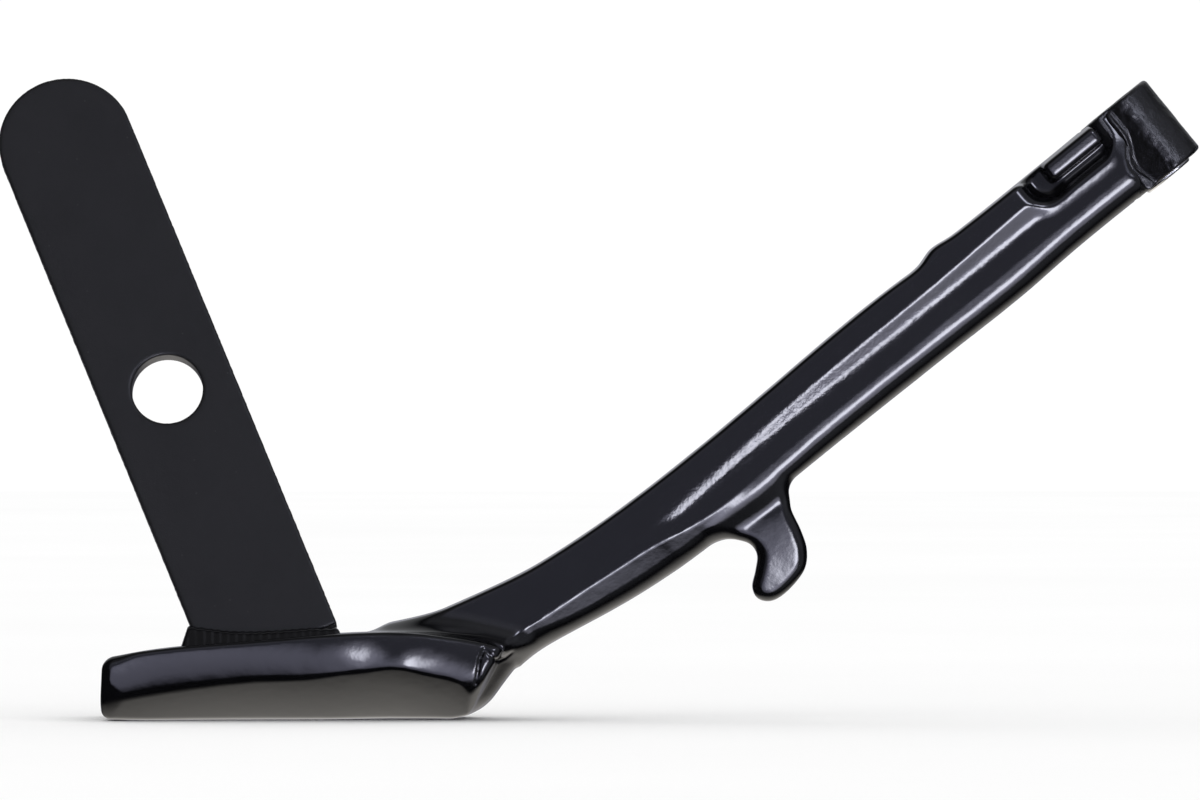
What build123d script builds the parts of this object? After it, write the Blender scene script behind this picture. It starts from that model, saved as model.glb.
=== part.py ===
"""Motorcycle side stand leg: a forged arm with a pivot barrel at its top end and a foot with a
welded boot tab at its lower end.  The leg turns on a steel sleeve that a bolt clamps in the frame
bracket.

Frame: millimetres, +Z up, origin at the middle of the pivot bore.  The arm lies in the XZ plane and
runs down towards -X.  The stand is shown deployed, with its sole on the ground; -Y is the side that
carries the stop lug and the boot tab, and the side that the leg folds towards.
"""
import os
from math import cos, radians, sin, tan

from build123d import *

os.makedirs("parts", exist_ok=True)

# ---------------------------------------------------------------- driving dimensions
arm_angle = 39.2            # arm below the horizontal, degrees
arm_thickness = 21.0        # front face to rear face
arm_top = -12.45            # upper edge of the arm near the barrel, across the arm
arm_top_low = -11.75        # upper edge past the small forging step
arm_bottom = 12.6           # lower edge of the arm near the barrel
step_start, step_end = 61.0, 68.0
straight_length = 172.0     # along the arm, pivot to the start of the bend

barrel_radius = 11.8
barrel_length = 24.9
barrel_edge = 1.2
sleeve_radius = 7.5
sleeve_top = -12.3          # flush in the barrel at its upper end
sleeve_bottom = 13.3        # and proud at its lower end
bolt_radius = 6.45          # hole for a 12.7 mm pivot bolt
sleeve_chamfer = 0.4
running_gap = 0.05          # radial, sleeve in barrel

relief_depth = 2.6          # middle band below the upper shelf
wall_foot = -1.45           # line across the arm where the shelf's wall meets the middle band
lip_edge = 0.4              # the shelf is this wide beside the lug pocket
shelf_edge = -5.2           # and this wide past it
bevel_on_face, bevel_on_side = 7.2, 7.6
rear_bevel = 4.0
edge_round = 2.4

pocket_start, pocket_end = 9.6, 33.5
pocket_depth = 3.4
pocket_side = -3.6
pocket_corner = 4.0
lug_start, lug_end = 11.4, 27.0
lug_side = -6.3
lug_height = 3.0            # above the pocket's floor
lug_corner = 1.2
lug_round = 0.8
lug_inset = 0.6             # from the arm's upper edge

neck_end = 8.6              # the arm's neck and its weld end here, from the pivot
neck_step = 1.4             # the neck is this much thinner than the arm all round
weld_sink = 0.6             # weld surface below the arm's faces

hook_thickness = 11.0

ground = -162.8             # height of the sole
foot_left = -291.2
foot_heel = -180.0
foot_end_radius = 5.0       # at the top of the left end
foot_corner = 6.0           # left end's corners, seen from above
front_side_height = 10.6    # front side, from the top down to the rising underside
rear_side_height = 16.0     # and the rear side
heel_turn = -206.0          # the pad's right end starts to round off here
foot_front, foot_rear = -24.0, 24.0
foot_top_left = -143.9      # top surface height at the left end
foot_top_slope = 4.8        # degrees, rising towards the arm
rocker_slope = 40.0         # underside rising towards the front and rear edges

seam_top = (-196.4, -132.2)
seam_bottom = (-175.3, -149.0)
seam_width = 5.0

tab_width = 38.1            # 1 1/2 in flat bar
tab_thickness = 6.35        # 1/4 in
tab_lean = 16.0             # top leans to the rear
tab_tilt = 22.2             # top leans towards the foot's end
tab_base = (-245.1, -14.8, -137.6)
tab_length = 153.8          # base to the centre of the round end
tab_hole_radius = 10.0
tab_hole_height = 75.1
weld_leg = 4.6

# ---------------------------------------------------------------- frames
half = arm_thickness / 2
along = Vector(-cos(radians(arm_angle)), 0, -sin(radians(arm_angle)))
across = Vector(sin(radians(arm_angle)), 0, -cos(radians(arm_angle)))
front = Vector(0, -1, 0)

arm_plane = Plane(origin=(0, 0, 0), x_dir=along, z_dir=front)          # x down the arm, y across it
section_plane = Plane(origin=(0, 0, 0), x_dir=across, z_dir=along)     # cut across the arm
bore_plane = Plane(origin=(0, 0, 0), x_dir=along, z_dir=across)

seam_run = Vector(seam_bottom[0] - seam_top[0], 0, seam_bottom[1] - seam_top[1])
seam_centre = Vector((seam_top[0] + seam_bottom[0]) / 2, 0, (seam_top[1] + seam_bottom[1]) / 2)
seam_normal = Vector(seam_run.Z, 0, -seam_run.X).normalized()          # towards the foot
seam_upper = Plane(origin=seam_centre - seam_normal * seam_width / 2, x_dir=front, z_dir=seam_normal)
seam_lower = Plane(origin=seam_centre + seam_normal * seam_width / 2, x_dir=front, z_dir=seam_normal)

tab_front = Vector(0, -cos(radians(tab_lean)), sin(radians(tab_lean)))
tab_up = Vector(-sin(radians(tab_tilt)), cos(radians(tab_tilt)) * sin(radians(tab_lean)),
                cos(radians(tab_tilt)) * cos(radians(tab_lean)))
tab_plane = Plane(origin=tab_base, x_dir=tab_up, z_dir=tab_front)

foot_top_dir = Vector(cos(radians(foot_top_slope)), 0, sin(radians(foot_top_slope)))
foot_top_plane = Plane(origin=(foot_left, 0, foot_top_left), x_dir=foot_top_dir,
                       z_dir=Vector(-foot_top_dir.Z, 0, foot_top_dir.X))


def foot_top_at(x):
    """Height of the foot's top surface."""
    return foot_top_left + (x - foot_left) * tan(radians(foot_top_slope))


def leg_outline():
    """Side outline of arm, neck and heel, drawn in the arm's own axes (down the arm, across it)."""
    Polyline((0, arm_top), (step_start, arm_top), (step_end, arm_top_low), (straight_length, arm_top_low))
    Spline((straight_length, arm_top_low), (210, -15.1), (244.6, -22.0), tangents=((1, 0), (0.8, -0.25)))
    Polyline((244.6, -22.0), (252, 2), (244.8, 8.0))
    Spline((244.8, 8.0), (230.1, 4.8), (198.5, 8.6), (162, 12.3), tangents=((-0.8, -0.55), (-1, 0.05)))
    Polyline((162, 12.3), (0, arm_bottom), (0, arm_top))


# ---------------------------------------------------------------- pivot barrel
with BuildPart() as pivot_barrel:
    with BuildSketch(bore_plane):
        Circle(barrel_radius)
        Circle(sleeve_radius + running_gap, mode=Mode.SUBTRACT)
    extrude(amount=barrel_length / 2, both=True)
    outer_rims = pivot_barrel.edges().filter_by(GeomType.CIRCLE).sort_by(SortBy.RADIUS)[-2:]
    fillet(outer_rims, radius=barrel_edge)

with BuildPart() as barrel_space:
    with BuildSketch(bore_plane):
        Circle(barrel_radius)
    extrude(amount=barrel_length, both=True)

# ---------------------------------------------------------------- pivot sleeve
with BuildPart() as pivot_sleeve:
    with BuildSketch(bore_plane):
        Circle(sleeve_radius)
        Circle(bolt_radius, mode=Mode.SUBTRACT)
    extrude(amount=sleeve_bottom)
    extrude(pivot_sleeve.faces().sort_by(Axis((0, 0, 0), across))[0], amount=-sleeve_top)
    outer_ends = pivot_sleeve.edges().filter_by(GeomType.CIRCLE).sort_by(SortBy.RADIUS)[-2:]
    chamfer(outer_ends, length=sleeve_chamfer)

# ---------------------------------------------------------------- leg blank, cut into arm, weld and neck
with BuildPart() as leg_blank:
    with BuildSketch(arm_plane):
        with BuildLine():
            leg_outline()
        make_face()
    extrude(amount=half, both=True)

    # long edges: a wide bevel below the middle band, a smaller one behind, rounded upper edges
    front_face = leg_blank.faces().sort_by(Axis.Y)[0]
    rear_face = leg_blank.faces().sort_by(Axis.Y)[-1]
    lower_front = front_face.edges().filter_by(lambda e: (e @ 0.5).dot(across) > 2.5 and e.length > 12)
    chamfer(lower_front, length=bevel_on_face, length2=bevel_on_side, reference=front_face)
    lower_rear = rear_face.edges().filter_by(lambda e: (e @ 0.5).dot(across) > 2.5 and e.length > 12)
    chamfer(lower_rear, length=rear_bevel)
    upper_long = leg_blank.edges().filter_by(lambda e: (e @ 0.5).dot(across) < -8 and e.length > 6
                                             and abs((e @ 0.5).Y) > half - 0.01)
    fillet(upper_long, radius=edge_round)

# ---------------------------------------------------------------- arm forging
with BuildPart() as arm_forging:
    add(leg_blank.part)
    split(bisect_by=seam_upper, keep=Keep.BOTTOM)

    # the middle band lies lower than the shelf along the upper edge; its wall runs out before the bend
    shelf_widths = ((2.0, lip_edge, relief_depth), (29.0, lip_edge, relief_depth),
                    (36.0, shelf_edge - 1.2, relief_depth), (80.0, shelf_edge, relief_depth),
                    (150.0, wall_foot - 1.0, 1.0), (176.0, wall_foot - 0.2, -0.3))
    for distance, edge, depth in shelf_widths:
        with BuildSketch(section_plane.offset(distance)):
            with BuildLine():
                foot_of_wall = max(wall_foot, edge + 1.8)
                Polyline((edge, half), (foot_of_wall, half - depth), (arm_bottom + 2, half - depth),
                         (arm_bottom + 2, half + 4), (edge, half + 4), close=True)
            make_face()
    loft(ruled=True, mode=Mode.SUBTRACT)

    # stop lug standing in a pocket that is open at the upper edge
    pocket_plane = arm_plane.offset(half - pocket_depth)
    with BuildSketch(pocket_plane):
        with BuildLine():
            Polyline((pocket_start, arm_top - 2), (pocket_start, pocket_side), (pocket_end, pocket_side),
                     (pocket_end, arm_top - 2), close=True)
        make_face()
        fillet(vertices().group_by(Axis((0, 0, 0), across))[-1], radius=pocket_corner)
    extrude(amount=pocket_depth + 1, mode=Mode.SUBTRACT)
    with BuildSketch(pocket_plane):
        with Locations(((lug_start + lug_end) / 2, (arm_top + lug_inset + lug_side) / 2)):
            RectangleRounded(lug_end - lug_start, lug_side - arm_top - lug_inset, lug_corner)
    extrude(amount=lug_height)
    lug_rim = arm_forging.faces().filter_by(
        lambda f: abs(f.center().Y + half - pocket_depth + lug_height) < 0.01 and f.area < 140)
    fillet(lug_rim.edges(), radius=lug_round)

    # the arm steps down to a neck that meets the barrel
    with BuildSketch(section_plane.offset(-2 * barrel_radius)):
        Rectangle(4 * half, 4 * half)
        Rectangle(barrel_length - 2 * neck_step, arm_thickness - 2 * neck_step, mode=Mode.SUBTRACT)
    extrude(amount=2 * barrel_radius + neck_end, mode=Mode.SUBTRACT)
    add(barrel_space.part, mode=Mode.SUBTRACT)

    # spring hook on the lower edge, its mouth towards the foot
    with BuildSketch(arm_plane):
        with BuildLine():
            Spline((131, 11.5), (141.7, 18.7), (145.6, 30.2), (156.6, 35.6), tangents=((1, 0.1), (1, 0.05)))
            ThreePointArc((156.6, 35.6), (163.6, 34.0), (164.4, 29.2))
            Spline((164.4, 29.2), (156.6, 23.0), (158.4, 16.8), (167.5, 12.6), tangents=((-0.6, -0.7), (1, -0.1)))
            Polyline((167.5, 12.6), (167.5, 8), (131, 8), (131, 11.5))
        make_face()
    extrude(amount=hook_thickness / 2, both=True)

# ---------------------------------------------------------------- weld round the barrel joint
with BuildPart() as barrel_weld:
    with BuildSketch(section_plane):
        Rectangle(barrel_length - 2 * weld_sink, arm_thickness - 2 * weld_sink)
        Rectangle(barrel_length - 2 * neck_step, arm_thickness - 2 * neck_step, mode=Mode.SUBTRACT)
    extrude(amount=neck_end)
    add(barrel_space.part, mode=Mode.SUBTRACT)

# ---------------------------------------------------------------- foot
with BuildPart() as foot_pad:
    # side outline: neck below the seam, top surface, rounded left end, flat bottom, heel
    with BuildSketch(Plane.XZ):
        with BuildLine():
            top_end = Vector(foot_left + foot_end_radius, foot_top_at(foot_left + foot_end_radius))
            Spline(seam_top, (-203.5, -136.6), (-212.0, foot_top_at(-212.0)), tangents=((-0.9, -0.42), (-1, -0.115)))
            Line((-212.0, foot_top_at(-212.0)), top_end)
            ThreePointArc(top_end, (foot_left + 1.4, foot_top_at(foot_left) - 1.3),
                          (foot_left, foot_top_at(foot_left) - foot_end_radius))
            Line((foot_left, foot_top_at(foot_left) - foot_end_radius), (foot_left, ground + 4))
            ThreePointArc((foot_left, ground + 4), (foot_left + 1.2, ground + 1.2), (foot_left + 4, ground))
            Line((foot_left + 4, ground), (-193.0, ground))
            Spline((-193.0, ground), (-184.2, -160.4), (-179.4, -154.7), seam_bottom,
                   tangents=((1, 0), (0.55, 0.8)))
            Line(seam_bottom, seam_top)
        make_face()
    extrude(amount=foot_rear, both=True)

    # plan outline: a rounded pad, and the neck that runs into its right end
    with BuildSketch(Plane.XY.offset(ground - 1)):
        with BuildLine():
            Polyline((foot_left + foot_corner, foot_front), (heel_turn, foot_front))
            EllipticalCenterArc((heel_turn, 0), foot_heel - heel_turn, foot_rear, start_angle=-90, arc_size=180)
            Polyline((heel_turn, foot_rear), (foot_left + foot_corner, foot_rear))
            RadiusArc((foot_left + foot_corner, foot_rear), (foot_left, foot_rear - foot_corner), -foot_corner)
            Line((foot_left, foot_rear - foot_corner), (foot_left, foot_front + foot_corner))
            RadiusArc((foot_left, foot_front + foot_corner), (foot_left + foot_corner, foot_front), -foot_corner)
        make_face()
    extrude(amount=60, mode=Mode.INTERSECT)
    split(bisect_by=foot_top_plane, keep=Keep.BOTTOM)
    add(leg_blank.part)

    # underside: flat in the middle, rising to the front and rear edges
    for side, side_height in ((-1, front_side_height), (1, rear_side_height)):
        inward = Vector(0, -side * cos(radians(rocker_slope)), -sin(radians(rocker_slope)))
        edge_point = (foot_left, side * foot_rear, foot_top_at(foot_left) - side_height)
        split(bisect_by=Plane(origin=edge_point, x_dir=foot_top_dir, z_dir=inward.cross(foot_top_dir) * side),
              keep=Keep.TOP)
    split(bisect_by=seam_lower, keep=Keep.TOP)

# ---------------------------------------------------------------- weld between arm and foot
with BuildPart() as foot_weld:
    add(leg_blank.part)
    split(bisect_by=seam_upper, keep=Keep.TOP)
    split(bisect_by=seam_lower, keep=Keep.BOTTOM)

# ---------------------------------------------------------------- boot tab
with BuildPart() as extension_tab:
    with BuildSketch(tab_plane):
        with Locations((tab_length / 2 - 10, 0)):
            Rectangle(tab_length + 20, tab_width)
        with Locations((tab_length, 0)):
            Circle(tab_width / 2)
        with Locations((tab_hole_height, 0)):
            Circle(tab_hole_radius, mode=Mode.SUBTRACT)
    extrude(amount=tab_thickness / 2, both=True)
    split(bisect_by=foot_top_plane, keep=Keep.TOP)


# ---------------------------------------------------------------- welds at the tab's base
def bead_outline(x, side, height, leg):
    """Fillet bead section at x, as (y, z) points; side is 1 in front of the tab and -1 behind it."""
    floor = foot_top_at(x)
    lean = tan(radians(tab_lean))
    face = tab_base[1] - side * tab_thickness / 2 / cos(radians(tab_lean)) + (floor - tab_base[2]) * lean
    top = (face + height * lean, floor + height)
    toe = (face - side * leg, floor)
    return (face + side * 3, floor - 1), (top[0] + side * 3, top[1]), top, toe, (toe[0], floor - 1)


with BuildPart() as tab_weld_front:
    for x, height, leg in ((-271.2, 0.5, 3.6), (-266.4, 6.2, weld_leg), (-257.0, 3.6, weld_leg),
                           (-246.0, 2.5, 3.6), (-224.0, 1.7, 3.0)):
        with BuildSketch(Plane.YZ.offset(x)):
            with BuildLine():
                Polyline(*bead_outline(x, 1, height, leg), close=True)
            make_face()
    loft(ruled=True)
    add(extension_tab.part, mode=Mode.SUBTRACT)
    split(bisect_by=foot_top_plane, keep=Keep.TOP)

with BuildPart() as tab_weld_rear:
    for x in (-266.7, -228.2):
        with BuildSketch(Plane.YZ.offset(x)):
            with BuildLine():
                Polyline(*bead_outline(x, -1, weld_leg, weld_leg), close=True)
            make_face()
    loft(ruled=True)
    add(extension_tab.part, mode=Mode.SUBTRACT)
    split(bisect_by=foot_top_plane, keep=Keep.TOP)

# ---------------------------------------------------------------- files
pieces = {
    "arm_forging": arm_forging,
    "pivot_barrel": pivot_barrel,
    "barrel_weld": barrel_weld,
    "pivot_sleeve": pivot_sleeve,
    "foot_pad": foot_pad,
    "foot_weld": foot_weld,
    "extension_tab": extension_tab,
    "tab_weld_front": tab_weld_front,
    "tab_weld_rear": tab_weld_rear,
}
for name, piece in pieces.items():
    piece.part.label = name
    export_step(piece.part, "parts/" + name + ".step")
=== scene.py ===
"""Motorcycle side stand leg: a glossy black forging with a welded boot tab.

The forging, with its foot and hook, is one smooth distance field in millimetres: meshed on a grid,
pulled onto the field's surface and cut at the seams into its pieces.  The flat bar, its two beads, the
barrel and the barrel's bead are fields of their own.  The sleeve is the CAD node with a new material.
A field is negative inside the metal and positive outside it.
"""

from math import cos, pi, radians, sin

import bmesh
import bpy
import numpy as np
import openvdb
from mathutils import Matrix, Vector


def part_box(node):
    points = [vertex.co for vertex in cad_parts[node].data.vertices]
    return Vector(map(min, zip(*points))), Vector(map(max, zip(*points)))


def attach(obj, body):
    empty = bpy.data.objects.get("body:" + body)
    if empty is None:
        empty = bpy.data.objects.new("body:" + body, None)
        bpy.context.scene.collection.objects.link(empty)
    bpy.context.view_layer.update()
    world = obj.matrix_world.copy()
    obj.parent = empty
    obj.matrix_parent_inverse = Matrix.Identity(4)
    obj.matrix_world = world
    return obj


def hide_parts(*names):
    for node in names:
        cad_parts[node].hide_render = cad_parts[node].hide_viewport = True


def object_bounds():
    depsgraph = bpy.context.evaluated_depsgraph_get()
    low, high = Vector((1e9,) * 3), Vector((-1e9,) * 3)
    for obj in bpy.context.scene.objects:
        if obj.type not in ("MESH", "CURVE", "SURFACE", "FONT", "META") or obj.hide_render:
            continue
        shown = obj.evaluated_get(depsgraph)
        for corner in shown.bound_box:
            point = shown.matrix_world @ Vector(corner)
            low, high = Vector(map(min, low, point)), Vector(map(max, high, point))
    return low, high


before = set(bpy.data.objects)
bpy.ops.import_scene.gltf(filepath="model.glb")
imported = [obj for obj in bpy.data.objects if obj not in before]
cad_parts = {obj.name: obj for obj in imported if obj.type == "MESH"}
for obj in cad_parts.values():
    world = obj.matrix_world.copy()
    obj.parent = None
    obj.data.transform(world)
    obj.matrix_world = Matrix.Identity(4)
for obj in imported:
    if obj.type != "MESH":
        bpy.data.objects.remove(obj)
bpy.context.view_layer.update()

MM = 0.001
GRID = 0.52
ARM_GRID, TAB_GRID, FINE_GRID = GRID * 1.08, GRID * 1.05, GRID * 0.8

# ---------------------------------------------------------------- sizes, millimetres
# The arm's own axes start at the pivot: s runs down the arm, t across it, h towards the front (-Y).
ARM_ANGLE = radians(39.2)
COS_A, SIN_A = cos(ARM_ANGLE), sin(ARM_ANGLE)
ARM_END = 250
BARREL_RADIUS, BARREL_HALF, BARREL_BORE = 11.8, 12.45, 7.55
VALLEY_SLOPE, VALLEY_STEEP = radians(28), radians(64)
# the pocket's ends down the arm and its lower edge across it, and the lug's middle and half sizes
POCKET_START, POCKET_END, POCKET_EDGE = 6.6, 32.4, -3.2
POCKET_DEPTH, POCKET_CORNER, POCKET_DRAFT = 4.9, 5.4, 0.30
LUG_S, LUG_HALF_LENGTH = 17.6, 9.2
LUG_T, LUG_HALF_WIDTH = -9.1, 2.7
HOOK_FRONT, HOOK_BACK = 5.9, 5.4
# the foot: half its depth, its front's crown radius, a point of its oblique right end, the curve by
# which its rear runs in to the neck, a point of its heel, and the bevel under its rear edge
FOOT_HALF = 24.0
FOOT_CROWN = 31.0
FOOT_END_POINT = (-185.6, -20, -153.5)
TAPER_START, TAPER_LENGTH, TAPER_DEPTH = -206, 25, 20.8
HEEL_X, HEEL_Z = -181.2, -157.5
REAR_BEVEL, REAR_BEVEL_START = radians(40), 18.4
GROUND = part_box("foot_pad")[0].z / MM
FOOT_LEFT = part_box("foot_pad")[0].x / MM
# the two seams of the neck weld, at the middle plane, as (x, z)
SEAM_TOP, SEAM_BOTTOM, SEAM_WIDTH = (-196.4, -132.2), (-175.3, -149.0), 5.0


# ---------------------------------------------------------------- field tools
def step(a, b, x):
    """0 below a, 1 above b, smooth between."""
    u = np.clip((x - a) / (b - a), 0.0, 1.0)
    return u * u * (3 - 2 * u)


def rmax(a, b, r):
    """Intersection of two fields with a round edge of radius r."""
    return np.minimum(np.maximum(a, b), -r) + np.hypot(np.maximum(a + r, 0), np.maximum(b + r, 0))


def rmin(a, b, r):
    """Union of two fields with a round inner corner of radius r."""
    return -rmax(-a, -b, r)


def soft_min(a, b, k):
    """The smaller of two values, with the change from one to the other spread over k."""
    return np.minimum(a, b) - np.maximum(k - np.abs(a - b), 0) ** 2 / (4 * k)


def soft_max(a, b, k):
    """The larger of two values, with the change from one to the other spread over k."""
    return -soft_min(-a, -b, k)


def curve(*knots):
    """Smooth curve through the knots (natural cubic), straight outside them."""
    xs, ys = np.array(knots, float).T
    n = len(xs)
    gaps = np.diff(xs)
    slopes = np.diff(ys) / gaps
    system, right = np.eye(n), np.zeros(n)
    for i in range(1, n - 1):
        system[i, i - 1:i + 2] = gaps[i - 1], 2 * (gaps[i - 1] + gaps[i]), gaps[i]
        right[i] = 6 * (slopes[i] - slopes[i - 1])
    bend = np.linalg.solve(system, right)

    def value(x):
        x = np.asarray(x, float)
        i = np.clip(np.searchsorted(xs, x) - 1, 0, n - 2)
        inside = np.clip(x, xs[0], xs[-1])
        a, b, g = xs[i + 1] - inside, inside - xs[i], gaps[i]
        y = ((bend[i] * a ** 3 + bend[i + 1] * b ** 3) / (6 * g)
             + (ys[i] / g - bend[i] * g / 6) * a + (ys[i + 1] / g - bend[i + 1] * g / 6) * b)
        first = slopes[0] - gaps[0] * bend[1] / 6
        last = slopes[-1] + gaps[-1] * bend[-2] / 6
        return y + np.minimum(x - xs[0], 0) * first + np.maximum(x - xs[-1], 0) * last
    return value


def noise(x, y, z, size, seed=0):
    """Smooth value noise between -1 and 1 with features of the given size."""
    total = 0.0
    p = [np.asarray(c, float) / size + seed * 17.3 for c in (x, y, z)]
    cell = [np.floor(c).astype(np.int64) for c in p]
    f = [c - k for c, k in zip(p, cell)]
    f = [u * u * u * (u * (u * 6 - 15) + 10) for u in f]
    for i in (0, 1):
        for j in (0, 1):
            for k in (0, 1):
                n = (cell[0] + i) * 374761393 + (cell[1] + j) * 668265263
                n = n + (cell[2] + k) * 2147483647 + seed * 97
                n = (n ^ (n >> 13)) * 1274126177
                n = ((n ^ (n >> 16)) & 0xFFFF) / 32767.5 - 1.0
                weight = (f[0] if i else 1 - f[0]) * (f[1] if j else 1 - f[1]) * (f[2] if k else 1 - f[2])
                total = total + n * weight
    return total


def closed_curve(points, steps=6):
    """Points along a smooth closed curve through the given ones (Catmull-Rom)."""
    p = np.array(points, float)
    u = (np.arange(steps) / steps)[:, None]
    runs = []
    for i in range(len(p)):
        a, b, c, d = p[i - 1], p[i], p[(i + 1) % len(p)], p[(i + 2) % len(p)]
        runs.append(0.5 * (2 * b + (c - a) * u + (2 * a - 5 * b + 4 * c - d) * u ** 2
                           + (3 * b - a - 3 * c + d) * u ** 3))
    return np.concatenate(runs)


def polyline_distance(px, py, points):
    """Distance to an open chain of straight runs."""
    nearest = 1e9
    for (ax, ay), (bx, by) in zip(points, points[1:]):
        dx, dy = bx - ax, by - ay
        u = np.clip(((px - ax) * dx + (py - ay) * dy) / (dx * dx + dy * dy), 0, 1)
        nearest = np.minimum(nearest, (px - ax - u * dx) ** 2 + (py - ay - u * dy) ** 2)
    return np.sqrt(nearest)


def polygon_field(px, py, outline):
    """2-D field of a closed outline, negative inside."""
    nearest, inside = np.full(px.shape, 1e9), np.zeros(px.shape, bool)
    for (ax, ay), (bx, by) in zip(outline, np.roll(outline, -1, axis=0)):
        dx, dy = bx - ax, by - ay
        u = np.clip(((px - ax) * dx + (py - ay) * dy) / (dx * dx + dy * dy), 0, 1)
        nearest = np.minimum(nearest, (px - ax - u * dx) ** 2 + (py - ay - u * dy) ** 2)
        if dy != 0:
            inside ^= ((ay > py) != (by > py)) & (px < ax + (py - ay) * dx / dy)
    return np.where(inside, -1, 1) * np.sqrt(nearest)


# ---------------------------------------------------------------- the forging's field
# Along the arm (s): its lower and upper outline (t), half width to the front and back (h), roundings,
# and the relief on its front, from the raised shelf down a wall to the flat.
arm_low = curve((0, 12.6), (40, 12.55), (50, 12.95), (68, 12.85), (96, 12.45), (125, 12.2), (160, 12.1),
                (177, 11.35), (188, 10.2), (198.5, 8.6), (210, 6.4), (221, 4.6), (230, 4.7), (237, 6.3),
                (246, 9.6))
arm_up = curve((0, -12.45), (54, -12.4), (60, -12.75), (65.5, -13.2), (70, -12.0), (76, -11.8),
               (120, -11.8), (172, -11.6), (189, -12.6), (199, -13.6), (210, -15.2), (222.6, -18.2),
               (235.7, -21.8), (250, -26.4))
arm_half = curve((0, 12.0), (30, 11.9), (80, 11.0), (140, 10.2), (185, 9.9), (215, 10.2), (240, 11.0))
arm_back = curve((0, 10.5), (60, 10.3), (140, 9.8), (200, 9.8), (240, 11.0))
low_round = curve((0, 6.0), (40, 6.0), (80, 6.0), (120, 5.8), (158, 4.6), (178, 4.6), (200, 4.4),
                  (212, 4.8), (222, 6.2), (240, 7.0))
shelf_edge = curve((36, -5.9), (50, -5.5), (72, -4.9), (108, -4.9), (134, -4.0), (150, -3.0), (164, -2.2),
                   (174, -1.7))
wall_foot = curve((34, -1.35), (130, -1.35), (148, -1.2), (162, -0.5), (174, 0.1))
wall_slope = curve((0, 0.40), (90, 0.40), (122, 0.31), (145, 0.25), (174, 0.24))
wall_blend = curve((0, 0.5), (90, 0.5), (120, 0.26), (145, 0.12), (174, 0.09))
bevel_start = curve((0, 4.8), (70, 4.8), (120, 4.8), (140, 5.0), (158, 5.6), (168, 4.3), (178, 2.2),
                    (188, 1.0), (200, -0.4), (210, -1.3), (220, -2.6), (230, -4.0), (240, -4.6))


def arm_front(s, t, h0=0.0):
    """Height of the arm's front surface over its middle plane."""
    half = arm_half(s)
    edge = shelf_edge(np.clip(s, 36, 174))
    by_lug = 1 - step(29, 38, s)
    slope = wall_slope(s) - 0.15 * by_lug
    drop = (wall_foot(np.maximum(s, 34)) - edge) * wall_slope(s) * (1 - step(165, 175, s))
    crest = half - (drop - 0.46) * by_lug
    lip = edge + (-1.1 - edge) * by_lug
    wall = crest - rmax(t - lip, (7.2 - s) * 1.35, 6.5) * slope
    shelf = soft_min(crest, wall, 0.26 + 0.16 * by_lug)
    end = 0.9 * (1 - step(2.0, 10.5, s + 0.5 * noise(s, t, h0, 3.0, 21)))
    slant = 0.10 + 0.37 * step(143, 168, s)
    low_bevel = slant * soft_max(t - bevel_start(s), 0 * t, 0.35 - 0.32 * step(150, 172, s))
    return soft_max(shelf, half - drop - end, wall_blend(s)) - low_bevel


def arm_axes(x, y, z):
    """The arm's own s, t and h of a place."""
    return -x * COS_A - z * SIN_A, x * SIN_A - z * COS_A, -y


def valley_start(t):
    """Where the valley's arm side begins, down the arm."""
    return 1.9 + 4.5 * step(-5, 6, t) - 1.4 * step(5, 12, t)


def groove(s, t, h):
    """Ragged valley across the front: a long slope off the barrel and a short steep one up to the arm."""
    ragged = (0.34 * noise(s, t, h, 2.4, 13) + 0.18 * noise(s, t, h, 1.1, 14)) * step(9.6, 11.2, h)
    off_barrel = 9.2 - s * sin(VALLEY_SLOPE) - h * cos(VALLEY_SLOPE)
    up_arm = (s - valley_start(t)) * sin(VALLEY_STEEP) - (h - 8.3) * cos(VALLEY_STEEP)
    return rmax(off_barrel, up_arm, 1.0) + ragged


def arm_field(x, y, z):
    """The arm with its parting line, relief, pocket and lug, cut back at the barrel."""
    s, t, h = arm_axes(x, y, z)
    flash = 0.14 * np.exp(-(h / 0.8) ** 2) - 0.015 * np.abs(h)
    lower = t - arm_low(s) - flash
    upper = arm_up(s) - t - flash
    front = h - arm_front(s, t)
    back = -h - arm_back(s)
    body = np.maximum(rmax(rmax(front, lower, low_round(s)), upper, 1.3),
                      rmax(rmax(back, lower, 4.0), upper, 4.0))

    # pocket open at the upper edge, with the stop lug in it
    brim = arm_half(20.0)
    bottom = brim - POCKET_DEPTH - 0.22 * np.maximum(s - 24, 0)
    well = rmax(np.maximum(POCKET_START - s, s - POCKET_END), t - POCKET_EDGE, POCKET_CORNER)
    well = (well - POCKET_DRAFT * (h - bottom)) / 1.045
    body = rmax(body, -rmax(well, bottom - h, 2.2), 0.9 + 0.5 * step(7, 12, s) + 1.0 * step(28, 33, s))
    lug = rmax(np.abs(s - LUG_S) - LUG_HALF_LENGTH, np.abs(t - LUG_T) - LUG_HALF_WIDTH, 1.6)
    lug = (lug + 0.16 * np.maximum(h - bottom, 0) - 0.45) / 1.02
    lug = rmax(lug, h - brim + 0.3 + 0.1 * (t + 9), 1.3)
    lug = np.maximum(lug, bottom - 2 - h)
    body = rmin(body, lug, 0.35)

    # the groove at the barrel, and the far end inside the foot
    body = rmax(body, -groove(s, t, h), 1.0 + 1.0 * step(-3, 2, t))
    reach = step(2, 6, h)
    body = rmax(body, 3.6 - 2.2 * reach - s, 0.8)
    body = np.maximum(body, BARREL_RADIUS + 0.02 - 3.0 * reach - np.hypot(s, h))
    return rmax(body, s - ARM_END, 2)


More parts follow.
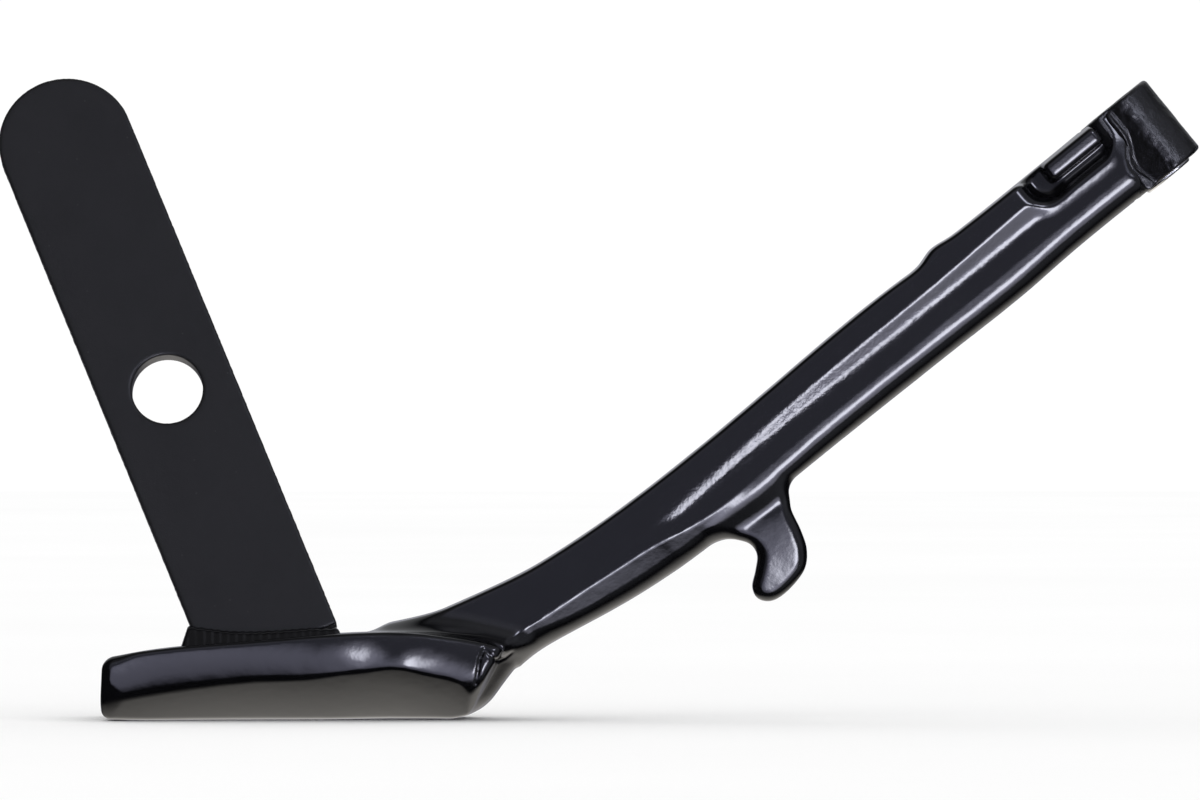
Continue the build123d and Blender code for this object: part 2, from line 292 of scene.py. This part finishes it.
# the hook's outline as (s, t)
HOOK_OUTLINE = closed_curve(((139.5, 6), (139.3, 14), (141.6, 18.7), (143.1, 24.8), (145.3, 30.2),
                             (149.5, 34.1), (156.4, 35.7), (161.8, 35.2), (164.6, 32.2), (163.8, 28.6),
                             (160.2, 25.6), (157.0, 22.4), (156.8, 18.5), (160.0, 13.5), (163, 6)))


def hook_field(x, y, z):
    """The spring hook, its front sloping back towards the tip; only worked out close to the hook."""
    s, t, h = arm_axes(x, y, z)
    near = (s > 128) & (s < 174) & (t > -2) & (t < 42)
    out = np.full(np.broadcast(s, t, h).shape, 12.0)
    s, t, h, near = (np.broadcast_to(v, out.shape) for v in (s, t, h, near))
    outline = polygon_field(s[near], t[near], HOOK_OUTLINE)
    down = np.maximum(t[near] - 15 + 0.25 * (s[near] - 152), 0)
    face = rmax(outline, h[near] - HOOK_FRONT + 0.06 * down + 0.0036 * down ** 2, 3.2)
    out[near] = rmax(face, -h[near] - HOOK_BACK, 1.8)
    return out


# Along the foot (x): the height of its top, how far its front stands back, and below the top the middle
# of the front's crown and the line where the front turns into the underside.
foot_top = curve((-292, -145.2), (-288, -144.6), (-281, -143.3), (-273.7, -142.3), (-248, -140.1),
                 (-224, -138.15), (-215, -137.8), (-206, -137.8), (-197, -138.6), (-188, -139.9),
                 (-180, -141.8))
foot_inset = curve((-300, 0), (-232, 0), (-223, 0.22), (-213.5, 1.30), (-210, 1.56), (-207, 1.66),
                   (-204, 1.98), (-200, 2.46), (-196, 2.92), (-192, 3.32), (-187, 3.7), (-181, 4.0))
band_middle = curve((-300, 1.0), (-240, 1.0), (-222, -1.7), (-214, -3.0), (-209, -5.0), (-204, -4.6),
                    (-198, -4.4), (-191, -5.6), (-180, -6.0))
nose_line = curve((-300, -10.4), (-285.6, -10.4), (-267, -9.8), (-245, -10.0), (-232.7, -11.1),
                  (-218.6, -11.1), (-211, -11.1), (-204, -11.6), (-199, -12.1), (-193.6, -12.7),
                  (-187, -14.2), (-180, -15.8))


def foot_depth(x, z):
    """Height above the foot's top."""
    return (z - foot_top(x)) * 0.9965


def foot_field(x, y, z):
    """The foot without its underside: crowned front, rear curving in to the neck, oblique right end."""
    deep = foot_depth(x, z)
    front = np.hypot(y - foot_inset(x) - (FOOT_CROWN - FOOT_HALF), deep - band_middle(x)) - FOOT_CROWN
    turn = np.clip((x - TAPER_START) / TAPER_LENGTH, 0, 0.98)
    narrowing = TAPER_DEPTH * (1 - np.sqrt(1 - turn ** 2))
    rear = (y + narrowing - FOOT_HALF) * 0.995 - deep * 0.06
    top = deep + 0.02 * (y + FOOT_HALF)
    left = FOOT_LEFT - x + 0.06 * np.maximum(z + 158, 0)
    at_end = step(-280, -288, x)
    end_x, end_y, end_z = FOOT_END_POINT
    right = 0.85 * (x - end_x) - 0.16 * (y - end_y) - 0.50 * (z - end_z)
    pad = rmax(front, right, 2.0)
    pad = rmax(pad, rear, 2.0)
    return rmax(pad, rmax(left, top, 3.2), 1.3 + 1.7 * at_end)


def sole_field(x, y, z):
    """What the foot's underside leaves: curved front bevel, flat rear bevel, flat sole and round heel."""
    deep = foot_depth(x, z)
    bevel = np.hypot(y - foot_inset(x) - 28.0, np.minimum(deep - nose_line(x) - 48.6, 0)) - 70.0
    rear_bevel = (y - FOOT_HALF) * sin(REAR_BEVEL) - (deep + REAR_BEVEL_START) * cos(REAR_BEVEL)
    heel = (x - HEEL_X) * 0.765 - (z - HEEL_Z) * 0.644
    ground = GROUND - z + 0.4 * step(-275, -293, x) + 0.25 * step(-235, -190, x)
    under = rmax(ground, heel, 7.0)
    under = rmax(under, rear_bevel, 3.0)
    return rmax(under, bevel, 1.0)


# the creases on the neck's front: a V as (x, z), and a flat one above it
WELD_MARKS = ((-186.4, -152.2), (-185.7, -148.8), (-185.2, -145.4), (-183.9, -142.4), (-181.8, -144.9),
              (-180.2, -146.0), (-178.2, -145.2), (-176.4, -143.8))
TOP_MARK_X, TOP_MARK_Z = -192, -138.4
MARK_DEPTH, MARK_WIDTH = 0.5, 0.45


def leg_field(x, y, z):
    """Arm, hook and foot run together, with the neck's creases, cut off by the underside."""
    leg = rmin(arm_field(x, y, z), hook_field(x, y, z), 3.8)
    leg = rmin(leg, foot_field(x, y, z), 4.0 + 4.0 * step(-147, -141, z))
    along = x - TOP_MARK_X
    mark = MARK_DEPTH * np.exp(-(along / 6.0) ** 2 - (z - TOP_MARK_Z + 0.1 * along) ** 2)
    mark = mark + MARK_DEPTH * np.exp(-(polyline_distance(x, z, WELD_MARKS) / MARK_WIDTH) ** 2)
    leg = leg + mark * step(-6, -9, y)
    near = step(-171, -176, x)
    sole = sole_field(x, y, z) * near - 8 * (1 - near)
    return rmax(leg, sole, 0.5 + 2.4 * step(-284, -290, x) + 3.0 * step(-191, -185, x))


def hammered_zone(x, y, z):
    """1 along the wall of the relief, where the forging is rough, and 0 elsewhere."""
    s, t, h = arm_axes(x, y, z)
    return (step(36, 55, s) * step(178, 168, s) * step(-6.5, -4.0, t) * step(1.4, -0.8, t) * step(6, 8, h)
            * (0.5 + 0.5 * step(70, 110, s)))


def leg_detail(x, y, z):
    """The leg with the gentle unevenness of a painted forging, and a hammered look along the wall."""
    hammered = (0.018 * noise(x, y, z, 1.4, 3) + 0.016 * noise(x, y, z, 3.2, 4)) * hammered_zone(x, y, z)
    return leg_field(x, y, z) + 0.03 * noise(x, y, z, 7.0, 1) + 0.008 * noise(x, y, z, 2.2, 2) + hammered


# ---------------------------------------------------------------- meshing
def gradient(field, p, reach):
    """Slope of a field at points, from its values a reach to either side."""
    out = np.empty_like(p)
    for axis in range(3):
        shift = np.zeros(3)
        shift[axis] = reach
        out[:, axis] = (field(*(p + shift).T) - field(*(p - shift).T)) / (2 * reach)
    return out


def field_mesh(name, field, detail, low, high, axes=np.eye(3), grid=GRID, rough=None):
    """Meshes a field inside a box given along axes (rows), then pulls it onto the detailed field.

    rough gives the value of the point attribute that the paint's pitting follows.
    """
    low, high = np.array(low, float), np.array(high, float)
    counts = np.ceil((high - low) / grid).astype(int) + 1
    a, b, c = (low[i] + grid * np.arange(counts[i]) for i in range(3))
    a, b, c = a[:, None, None], b[None, :, None], c[None, None, :]
    x, y, z = (a * axes[0][i] + b * axes[1][i] + c * axes[2][i] for i in range(3))
    values = np.clip(field(x, y, z), -3 * grid, 3 * grid).astype(np.float32)
    volume = openvdb.FloatGrid(3 * grid)
    volume.copyFromArray(values)
    points, triangles, quads = volume.convertToPolygons(isovalue=0.0, adaptivity=0.0)
    p = (points.astype(float) * grid + low) @ axes
    for reach in (0.05, 0.03, 0.03):
        slope = gradient(detail, p, reach)
        size = np.maximum((slope ** 2).sum(1), 0.05)
        move = (detail(*p.T) / size)[:, None] * slope
        length = np.linalg.norm(move, axis=1, keepdims=True)
        p -= move * np.minimum(1, 0.4 * grid / np.maximum(length, 1e-9))
    normals = gradient(detail, p, 0.12)
    normals /= np.linalg.norm(normals, axis=1, keepdims=True)
    faces = [tuple(map(int, f)) for f in quads] + [tuple(map(int, f)) for f in triangles]
    f0 = np.array([f[:3] for f in faces[:500]])
    facing = np.cross(p[f0[:, 1]] - p[f0[:, 0]], p[f0[:, 2]] - p[f0[:, 0]])
    if (facing * normals[f0[:, 0]]).sum() < 0:
        faces = [f[::-1] for f in faces]
    mesh = bpy.data.meshes.new(name)
    mesh.from_pydata((p * MM).tolist(), [], faces)
    mesh.update()
    piece = bpy.data.objects.new(name, mesh)
    bpy.context.scene.collection.objects.link(piece)
    mesh.polygons.foreach_set("use_smooth", np.ones(len(mesh.polygons), bool))
    if rough is not None:
        zone = mesh.attributes.new("rough_zone", "FLOAT", "POINT")
        zone.data.foreach_set("value", rough(*p.T).astype(np.float32))
    return piece


def cut(piece, point, keep):
    """Cuts a piece at a plane through the point, keeps the side the vector points to, and closes it."""
    bm = bmesh.new()
    bm.from_mesh(piece.data)
    bmesh.ops.bisect_plane(bm, geom=bm.verts[:] + bm.edges[:] + bm.faces[:], dist=1e-7,
                           plane_co=Vector(point) * MM, plane_no=Vector(keep), clear_inner=True)
    rim = [e for e in bm.edges if e.is_boundary]
    caps = bmesh.ops.holes_fill(bm, edges=rim, sides=0)["faces"]
    for face in caps:
        face.smooth = False
        for edge in face.edges:
            edge.smooth = False
    bmesh.ops.triangulate(bm, faces=caps)
    loose = [v for v in bm.verts if not v.link_faces]
    bmesh.ops.delete(bm, geom=loose, context="VERTS")
    bm.to_mesh(piece.data)
    bm.free()


def place(piece, slot, *nodes, body="leg"):
    """Puts a piece in the nodes' place, on its body, with its slot's material."""
    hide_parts(*nodes)
    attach(piece, body)
    piece.data.materials.clear()
    piece.data.materials.append(materials[slot])


# ---------------------------------------------------------------- tab, its welds, barrel and barrel weld
TAB_LEAN, TAB_TILT = radians(16.0), radians(22.2)
TAB_BASE = np.array((-245.1, -14.8, -137.6))
TAB_FRONT = np.array((0, -cos(TAB_LEAN), sin(TAB_LEAN)))
TAB_UP = np.array((-sin(TAB_TILT), cos(TAB_TILT) * sin(TAB_LEAN), cos(TAB_TILT) * cos(TAB_LEAN)))
TAB_SIDE = np.cross(TAB_FRONT, TAB_UP)
TAB_WIDTH, TAB_THICKNESS, TAB_LENGTH = 38.1, 6.35, 153.8
TAB_HOLE, TAB_HOLE_HEIGHT = 10.0, 75.1
bead_rise = curve((-268, 6.0), (-262, 4.4), (-255, 3.1), (-248, 2.4), (-235, 2.0), (-225, 1.7))
REAR_BEAD_X, REAR_BEAD_HALF = -247.4, 19.0


def tab_axes(x, y, z):
    """Places up the tab, across it and out of its front, from the middle of its base."""
    p = x - TAB_BASE[0], y - TAB_BASE[1], z - TAB_BASE[2]
    return tuple(sum(c * a for c, a in zip(p, axis)) for axis in (TAB_UP, TAB_SIDE, TAB_FRONT))


def tab_field(x, y, z):
    """The flat bar: round top, one hole, edges a little ragged from cutting."""
    up, side, out = tab_axes(x, y, z)
    near_edge = step(0.2, 1.6, np.abs(side) - TAB_WIDTH / 2 + 1.8)
    ragged = 0.07 * noise(up, side * 0.3, out * 0.2, 0.8, 5) * near_edge
    outline = np.hypot(side, np.maximum(up - TAB_LENGTH, 0)) - TAB_WIDTH / 2
    hole = TAB_HOLE - np.hypot(up - TAB_HOLE_HEIGHT, side)
    outline = np.maximum(outline + ragged, hole)
    slab = np.abs(out) - TAB_THICKNESS / 2
    body = rmax(outline, slab, 0.7)
    return np.maximum(body, -6 - up)


def bead_front_field(x, y, z):
    """A bead whose face follows the tab's lean, high at the left end and low at the right one."""
    _, side, out = tab_axes(x, y, z)
    deep = foot_depth(x, z)
    ripple = 0.10 * np.sin(x * 2 * pi / 2.3 + 0.9 * noise(x, y, z, 5, 7)) + 0.12 * noise(x, y, z, 3.0, 8)
    top = deep - bead_rise(x) + ripple
    face = out - TAB_THICKNESS / 2 - 2.1 + 0.25 * deep + 0.6 * ripple
    ends = np.maximum(side - TAB_WIDTH / 2 - 4.6 + 0.72 * deep, -side - TAB_WIDTH / 2 + 0.3)
    bead = rmax(rmax(face, top, 1.2), ends, 0.8)
    bead = np.maximum(bead, -1.2 - deep)
    return np.maximum(bead, TAB_THICKNESS / 2 - 1.0 - out)


def bead_rear_field(x, y, z):
    """A rippled 45 degree fillet along the tab's rear."""
    _, _, out = tab_axes(x, y, z)
    deep = foot_depth(x, z)
    face = (-out - TAB_THICKNESS / 2 + deep - 4.4) / 1.414
    ripple = 0.30 * np.sin(x * 2 * pi / 2.7 + 0.9 * noise(x, y, z, 5, 9)) + 0.15 * noise(x, y, z, 2.0, 10)
    bead = rmax(face + ripple, np.abs(x - REAR_BEAD_X) - REAR_BEAD_HALF, 3.0)
    bead = np.maximum(bead, -1.2 - deep)
    return np.maximum(bead, TAB_THICKNESS / 2 - 1.0 + out)


def barrel_field(x, y, z):
    """The tube round the pivot, kept clear of the arm and the valley between them."""
    s, t, h = arm_axes(x, y, z)
    r = np.hypot(s, h)
    tube = rmax(rmax(r - BARREL_RADIUS, np.abs(t) - BARREL_HALF, 1.1), BARREL_BORE - r, 0.4)
    tube = rmax(tube, -groove(s, t, h), 0.9)
    return np.maximum(tube, np.minimum(s - valley_start(t) - 0.3, h - arm_front(s, t) + 0.15))


def barrel_detail(x, y, z):
    """The barrel with the rough skin of a casting on its outside."""
    s, _, h = arm_axes(x, y, z)
    rough = 0.04 * noise(x, y, z, 1.3, 11) + 0.05 * noise(x, y, z, 3.5, 12)
    return barrel_field(x, y, z) + rough * step(8.0, 11.0, np.hypot(s, h))


def weld_field(x, y, z):
    """The bead in the valley between the barrel and the arm's end, ragged at both toes."""
    s, t, h = arm_axes(x, y, z)
    r = np.hypot(s, h)
    side = rmax(np.abs(t) - 12.25, np.abs(h) - 10.6 + 2.6 * step(3.0, 6.0, s) * step(0, 3, h), 3.0)
    rough = 0.22 * noise(x, y, z, 2.6, 13) + 0.10 * noise(x, y, z, 1.2, 14)
    bead = np.maximum(side + rough, s - 8.0)
    bead = np.maximum(bead, r - BARREL_RADIUS - 1.6 - 0.9 * np.abs(h) / 10)
    crown = 0.10 - 0.2 * ((s - valley_start(t) - 0.3) / 1.2) ** 2
    bead = rmax(bead, -groove(s, t, h) - crown, 0.2)
    bead = np.maximum(bead, 1.0 - s)
    return np.maximum(bead, BARREL_RADIUS - 0.8 - 2.6 * step(0, 4, h) - r)


# ---------------------------------------------------------------- materials
def new_material(name):
    """A material with its nodes, its links and its Principled shader."""
    material = bpy.data.materials.new(name)
    material.use_nodes = True
    nodes = material.node_tree.nodes
    return material, nodes, material.node_tree.links, nodes["Principled BSDF"]


def noise_node(nodes, links, place_from, scale, detail=2.0, rough=0.5):
    """A noise texture's value; scale is in features per metre."""
    node = nodes.new("ShaderNodeTexNoise")
    node.inputs["Scale"].default_value = scale
    node.inputs["Detail"].default_value = detail
    node.inputs["Roughness"].default_value = rough
    links.new(place_from, node.inputs["Vector"])
    return node.outputs["Fac"]


def ramp(nodes, links, source, *stops):
    """A value turned into a colour or a grey by stops of (position, colour)."""
    node = nodes.new("ShaderNodeValToRGB")
    while len(node.color_ramp.elements) < len(stops):
        node.color_ramp.elements.new(0.5)
    for element, (position, colour) in zip(node.color_ramp.elements, stops):
        element.position = position
        element.color = (*colour, 1) if isinstance(colour, tuple) else (colour, colour, colour, 1)
    links.new(source, node.inputs["Fac"])
    return node.outputs["Color"]


def bump(nodes, links, height, distance, strength, after=None):
    """A surface tilt from a height, on top of the one given as after."""
    node = nodes.new("ShaderNodeBump")
    node.inputs["Distance"].default_value = distance
    node.inputs["Strength"].default_value = strength
    links.new(height, node.inputs["Height"])
    if after is not None:
        links.new(after, node.inputs["Normal"])
    return node.outputs["Normal"]


def paint(name, dark, light, rough_low, rough_high, peel_scale, peel, grain_scale, grain,
          specks=0.0, gleam=0.5):
    """Black powder coat: slight tone change, uneven gloss, orange peel, finer grain, a few dust specks."""
    material, nodes, links, shader = new_material(name)
    where = nodes.new("ShaderNodeTexCoord").outputs["Object"]
    tone = noise_node(nodes, links, where, 60, 4)
    colour = ramp(nodes, links, tone, (0.3, dark), (0.7, light))
    gloss = noise_node(nodes, links, where, 140, 5, 0.6)
    links.new(ramp(nodes, links, gloss, (0.3, rough_low), (0.75, rough_high)), shader.inputs["Roughness"])
    if specks:
        cells = nodes.new("ShaderNodeTexVoronoi")
        cells.inputs["Scale"].default_value = 190
        links.new(where, cells.inputs["Vector"])
        dust = ramp(nodes, links, cells.outputs["Distance"], (0.035, specks), (0.06, 0.0))
        mix = nodes.new("ShaderNodeMix")
        mix.data_type = "RGBA"
        mix.blend_type = "ADD"
        mix.inputs["Factor"].default_value = 1.0
        links.new(colour, mix.inputs["A"])
        links.new(dust, mix.inputs["B"])
        colour = mix.outputs["Result"]
    links.new(colour, shader.inputs["Base Color"])
    shader.inputs["IOR"].default_value = 1.5
    shader.inputs["Specular IOR Level"].default_value = gleam
    wave = bump(nodes, links, noise_node(nodes, links, where, peel_scale, 2), 0.0004, peel)
    zone = nodes.new("ShaderNodeAttribute")
    zone.attribute_name = "rough_zone"
    pitted = nodes.new("ShaderNodeMath")
    pitted.operation = "MULTIPLY"
    links.new(noise_node(nodes, links, where, 900, 3, 0.6), pitted.inputs[0])
    links.new(zone.outputs["Fac"], pitted.inputs[1])
    wave = bump(nodes, links, pitted.outputs["Value"], 0.0003, 0.3, wave)
    fine = bump(nodes, links, noise_node(nodes, links, where, grain_scale, 3), 0.0001, grain, wave)
    links.new(fine, shader.inputs["Normal"])
    return material


def turned_steel(name):
    """Zinc-plated steel with turning marks round the bore's axis."""
    material, nodes, links, shader = new_material(name)
    where = nodes.new("ShaderNodeTexCoord").outputs["Object"]
    turn = nodes.new("ShaderNodeMapping")
    turn.inputs["Rotation"].default_value = (0, -(pi / 2 - ARM_ANGLE), 0)
    turn.inputs["Scale"].default_value = (0.02, 0.02, 1.0)
    links.new(where, turn.inputs["Vector"])
    rings = noise_node(nodes, links, turn.outputs["Vector"], 9000, 4)
    patches = noise_node(nodes, links, where, 220, 4)
    links.new(ramp(nodes, links, patches, (0.3, (0.50, 0.50, 0.49)), (0.7, (0.66, 0.66, 0.64))),
              shader.inputs["Base Color"])
    links.new(ramp(nodes, links, rings, (0.3, 0.22), (0.7, 0.42)), shader.inputs["Roughness"])
    shader.inputs["Metallic"].default_value = 1.0
    links.new(bump(nodes, links, rings, 0.00005, 0.4), shader.inputs["Normal"])
    return material


materials = {
    "gloss_black": paint("gloss_black", (0.0026, 0.0026, 0.0033), (0.0034, 0.0034, 0.0042),
                         rough_low=0.07, rough_high=0.13, peel_scale=260, peel=0.10,
                         grain_scale=1500, grain=0.08, specks=0.004),
    "cast_black": paint("cast_black", (0.0040, 0.0040, 0.0052), (0.0056, 0.0056, 0.0070),
                        rough_low=0.26, rough_high=0.42, peel_scale=420, peel=0.5,
                        grain_scale=2200, grain=0.6),
    "satin_black": paint("satin_black", (0.0098, 0.0098, 0.0112), (0.0118, 0.0118, 0.0134),
                         rough_low=0.34, rough_high=0.42, peel_scale=500, peel=0.12,
                         grain_scale=3000, grain=0.3, specks=0.01, gleam=0.25),
    "sleeve_steel": turned_steel("sleeve_steel"),
}


# ---------------------------------------------------------------- pieces
ARM_AXES = np.array([(-COS_A, 0, -SIN_A), (SIN_A, 0, -COS_A), (0, -1, 0)])
TAB_AXES = np.array([TAB_SIDE, TAB_UP, TAB_FRONT])
seam_mid = ((SEAM_TOP[0] + SEAM_BOTTOM[0]) / 2, 0, (SEAM_TOP[1] + SEAM_BOTTOM[1]) / 2)
seam_run = Vector((SEAM_BOTTOM[0] - SEAM_TOP[0], 0, SEAM_BOTTOM[1] - SEAM_TOP[1])).normalized()
to_foot = Vector((seam_run.z, 0, -seam_run.x))
upper_seam = Vector(seam_mid) - to_foot * SEAM_WIDTH / 2
lower_seam = Vector(seam_mid) + to_foot * SEAM_WIDTH / 2

arm = field_mesh("arm_body", leg_field, leg_detail,
                 (0, -32, -14.5), (252, 40, 14.5), ARM_AXES, ARM_GRID, hammered_zone)
cut(arm, upper_seam, -to_foot)
place(arm, "gloss_black", "arm_forging")

foot_low, foot_high = (-296, -27, -166), (-160, 27, -118)
foot = field_mesh("foot_body", leg_field, leg_detail, foot_low, foot_high)
neck = foot.copy()
neck.data = foot.data.copy()
neck.name = "neck_weld"
bpy.context.scene.collection.objects.link(neck)
cut(foot, lower_seam, to_foot)
place(foot, "gloss_black", "foot_pad")
cut(neck, lower_seam, -to_foot)
cut(neck, upper_seam, to_foot)
place(neck, "gloss_black", "foot_weld")

base = TAB_AXES @ TAB_BASE
tab = field_mesh("boot_tab", tab_field, tab_field,
                 base + (-21, -8, -4.4), base + (21, TAB_LENGTH + 21, 4.4), TAB_AXES, TAB_GRID)
place(tab, "satin_black", "extension_tab")
bead_front = field_mesh("tab_bead_front", bead_front_field, bead_front_field,
                        (-276, -27, -148), (-218, -8, -130), grid=FINE_GRID)
place(bead_front, "gloss_black", "tab_weld_front")
bead_rear = field_mesh("tab_bead_rear", bead_rear_field, bead_rear_field,
                       (-276, -16, -148), (-216, 2, -130), grid=FINE_GRID)
place(bead_rear, "gloss_black", "tab_weld_rear")

barrel = field_mesh("barrel_tube", barrel_field, barrel_detail,
                    (-13, -13.5, -13), (13, 13.5, 13), ARM_AXES, FINE_GRID)
place(barrel, "cast_black", "pivot_barrel")
bead = field_mesh("barrel_bead", weld_field, weld_field,
                  (-3, -13.5, -13), (10, 13.5, 13), ARM_AXES, FINE_GRID)
place(bead, "cast_black", "barrel_weld")

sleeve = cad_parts["pivot_sleeve"]
sleeve.data.materials.clear()
sleeve.data.materials.append(materials["sleeve_steel"])


# ---------------------------------------------------------------- floor, camera and light
def make_floor():
    """Plain pale floor at the object's lowest point, left out of reflections."""
    mesh = bpy.data.meshes.new("floor")
    size, level = 6.0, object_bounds()[0][2]
    corners = [(-size, -size, level), (size, -size, level), (size, size, level), (-size, size, level)]
    mesh.from_pydata(corners, [], [(0, 1, 2, 3)])
    piece = bpy.data.objects.new("floor", mesh)
    bpy.context.scene.collection.objects.link(piece)
    material, nodes, links, shader = new_material("floor")
    where = nodes.new("ShaderNodeTexCoord").outputs["Object"]
    links.new(ramp(nodes, links, noise_node(nodes, links, where, 3, 3), (0.3, 0.96), (0.7, 0.98)),
              shader.inputs["Base Color"])
    shader.inputs["Roughness"].default_value = 0.9
    shader.inputs["Specular IOR Level"].default_value = 0.0
    mesh.materials.append(material)
    piece.visible_glossy = False
    piece.visible_shadow = False


make_floor()

# metres: how far away the camera stands, the width it sees there, and the x and z it looks at
CAMERA_DISTANCE = 2.4
VIEW_WIDTH = 0.3374
VIEW_CENTRE = (-0.1517, -0.0731)
SENSOR = 36
lens = bpy.data.cameras.new("camera")
lens.sensor_width = SENSOR
lens.lens = SENSOR * CAMERA_DISTANCE / VIEW_WIDTH
camera = bpy.data.objects.new("camera", lens)
camera.location = (VIEW_CENTRE[0], -CAMERA_DISTANCE, VIEW_CENTRE[1])
camera.rotation_euler = (pi / 2, 0, 0)
bpy.context.scene.collection.objects.link(camera)
bpy.context.scene.camera = camera


# soft lamps that the paint reflects: towards, full within and gone beyond these angles, colour
PATCHES = (
    ((0.05, -1, 0.1), 20, 44, (0.38, 0.39, 0.52)),
    ((0.32, -0.902, -0.285), 3, 11, (14.5, 14.7, 16.5)),
    ((0.32, -0.902, -0.285), 7, 19, (1.6, 1.6, 2.0)),
    ((0.42, -0.75, -0.50), 4, 17, (2.4, 2.4, 3.0)),
    ((0.12, -0.87, -0.47), 8, 24, (1.35, 1.35, 1.8)),
    ((0.46, -0.80, 0.375), 2, 9, (9.0, 9.2, 11.0)),
    ((0.48, -0.79, 0.39), 5, 18, (1.0, 1.05, 1.4)),
    ((0.72, -0.35, 0.60), 15, 50, (0.35, 0.36, 0.42)),
    ((0.80, -0.45, -0.35), 10, 40, (0.30, 0.31, 0.36)),
    ((0.0, -0.70, 0.70), 15, 45, (0.16, 0.16, 0.17)),
    ((0, 0.58, -0.815), 16, 50, (1.24, 1.19, 1.12)),
    ((-0.1, 0.72, 0.68), 10, 50, (0.6, 0.61, 0.63)),
    ((0, 1, 0), 14, 40, (0.20, 0.20, 0.24)),
)


def studio():
    """White all round for the floor and for soft light; reflections see soft lamps on black."""
    world = bpy.data.worlds.new("studio")
    bpy.context.scene.world = world
    world.use_nodes = True
    world.cycles.sampling_method = "NONE"
    nodes, links = world.node_tree.nodes, world.node_tree.links
    nodes.clear()
    toward = nodes.new("ShaderNodeTexCoord").outputs["Generated"]

    def maths(kind, a, b):
        """A vector operation on two sockets or constants."""
        node = nodes.new("ShaderNodeVectorMath")
        node.operation = kind
        for socket, value in zip(node.inputs, (a, b)):
            if isinstance(value, tuple):
                socket.default_value = value
            else:
                links.new(value, socket)
        return node.outputs["Value" if kind == "DOT_PRODUCT" else "Vector"]

    def patch(direction, inner, outer, colour):
        """Light of the colour within the inner angle of a direction, none past the outer angle."""
        dot = maths("DOT_PRODUCT", toward, tuple(Vector(direction).normalized()))
        spread = nodes.new("ShaderNodeMapRange")
        spread.interpolation_type = "SMOOTHSTEP"
        links.new(dot, spread.inputs["Value"])
        spread.inputs["From Min"].default_value = cos(radians(outer))
        spread.inputs["From Max"].default_value = cos(radians(inner))
        return maths("MULTIPLY", combine(spread.outputs["Result"]), colour)

    def combine(value):
        """The same value on all three axes."""
        node = nodes.new("ShaderNodeCombineXYZ")
        for socket in node.inputs:
            links.new(value, socket)
        return node.outputs["Vector"]

    lights = [patch(*entry) for entry in PATCHES]
    total = lights[0]
    for light in lights[1:]:
        total = maths("ADD", total, light)
    lamps = nodes.new("ShaderNodeBackground")
    links.new(total, lamps.inputs["Color"])
    plain = nodes.new("ShaderNodeBackground")
    plain.inputs["Color"].default_value = (1, 1, 1, 1)
    plain.inputs["Strength"].default_value = 1.02
    choose = nodes.new("ShaderNodeMixShader")
    links.new(nodes.new("ShaderNodeLightPath").outputs["Is Glossy Ray"], choose.inputs["Fac"])
    links.new(plain.outputs["Background"], choose.inputs[1])
    links.new(lamps.outputs["Background"], choose.inputs[2])
    output = nodes.new("ShaderNodeOutputWorld")
    links.new(choose.outputs["Shader"], output.inputs["Surface"])


studio()
bpy.context.scene.view_settings.view_transform = "Standard"
bpy.context.scene.view_settings.look = "None"
